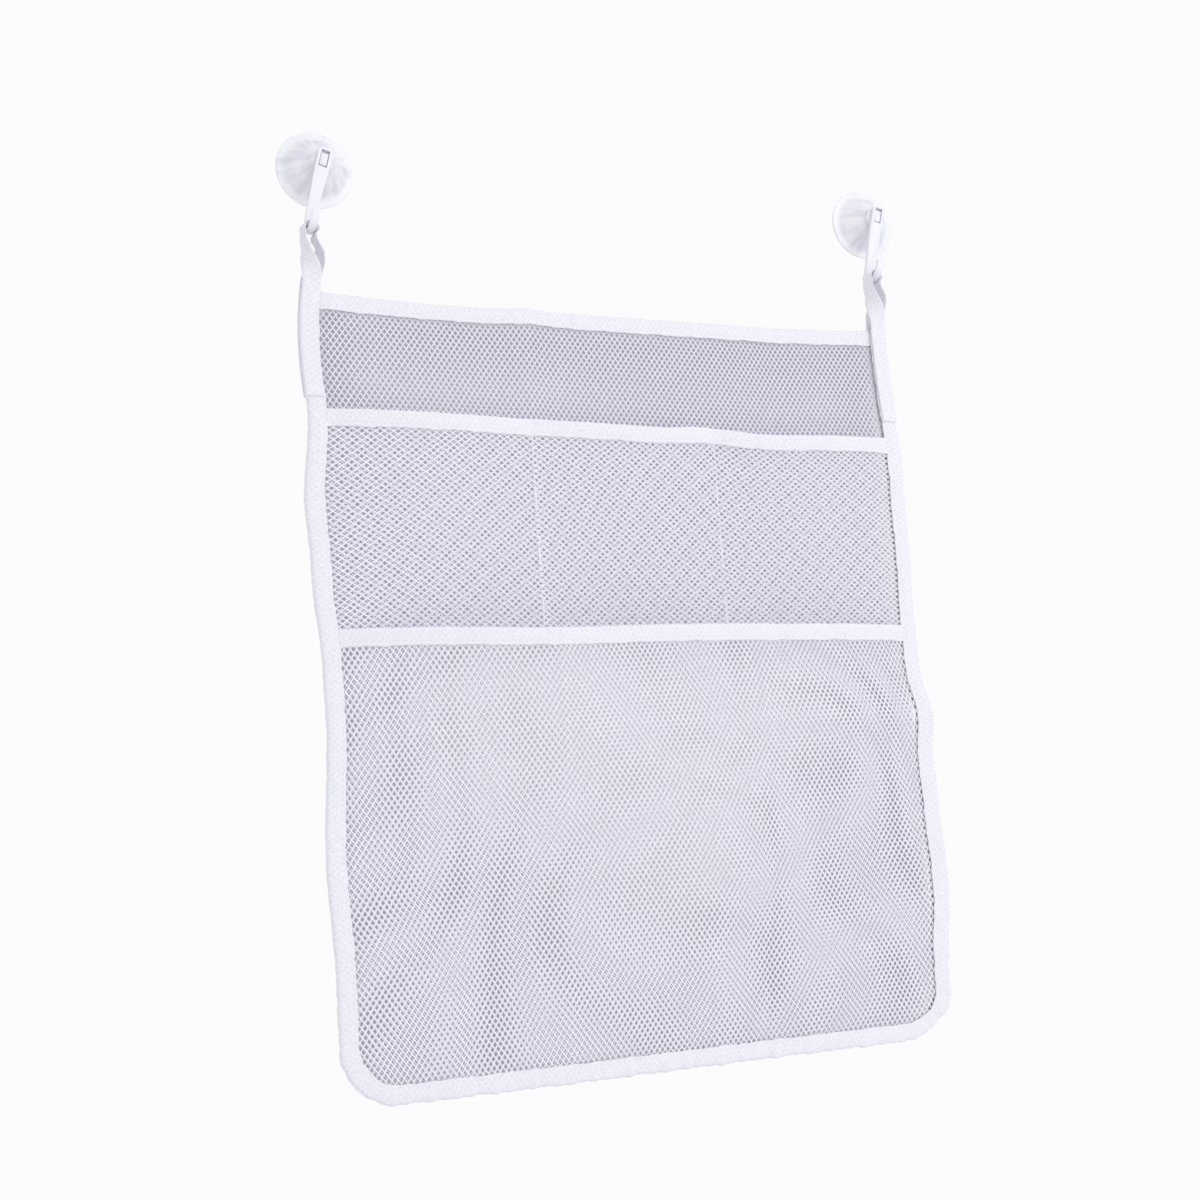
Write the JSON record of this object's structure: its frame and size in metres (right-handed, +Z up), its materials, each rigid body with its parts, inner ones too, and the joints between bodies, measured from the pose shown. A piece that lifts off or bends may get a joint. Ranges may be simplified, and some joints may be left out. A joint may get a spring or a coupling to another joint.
{
  "type": "bath toy organizer",
  "caption": "Flat white mesh bag with a row of small pockets over one large pocket, hung by tape loops from hooks on suction cups to keep bath toys on a wall.",
  "frame": {"origin": "on the wall, midway between the two suction cups", "axes": "+Z up, +Y into the wall, +X to the right as the room sees it"},
  "size_m": [0.4148, 0.0419, 0.5391],
  "materials": {
    "cup_vinyl": "milky translucent soft vinyl",
    "hook_plastic": "white moulded plastic",
    "woven_tape": "white ribbed polyester tape",
    "diamond_mesh": "white knitted diamond mesh",
    "sewing_thread": "white sewing thread"
  },
  "bodies": {
    "wall_hooks": {"left_suction_cup": "cup_vinyl", "right_suction_cup": "cup_vinyl", "left_hook": "hook_plastic", "right_hook": "hook_plastic"},
    "bag": {"left_hanging_loop": "woven_tape", "right_hanging_loop": "woven_tape", "back_panel": "diamond_mesh", "small_pocket_panel": "diamond_mesh", "main_pocket_panel": "diamond_mesh", "top_binding": "woven_tape", "side_binding": "woven_tape", "small_pocket_rim": "woven_tape", "main_pocket_rim": "woven_tape", "divider_seam_1": "sewing_thread", "divider_seam_2": "sewing_thread"}
  },
  "joints": [
    {"name": "bag_swing", "type": "hinge", "parent": "wall_hooks", "child": "bag", "pos_m": [0, -0.0247, -0.03853], "axis": [-1, 0, 0], "range_deg": [-2, 80]}
  ]
}
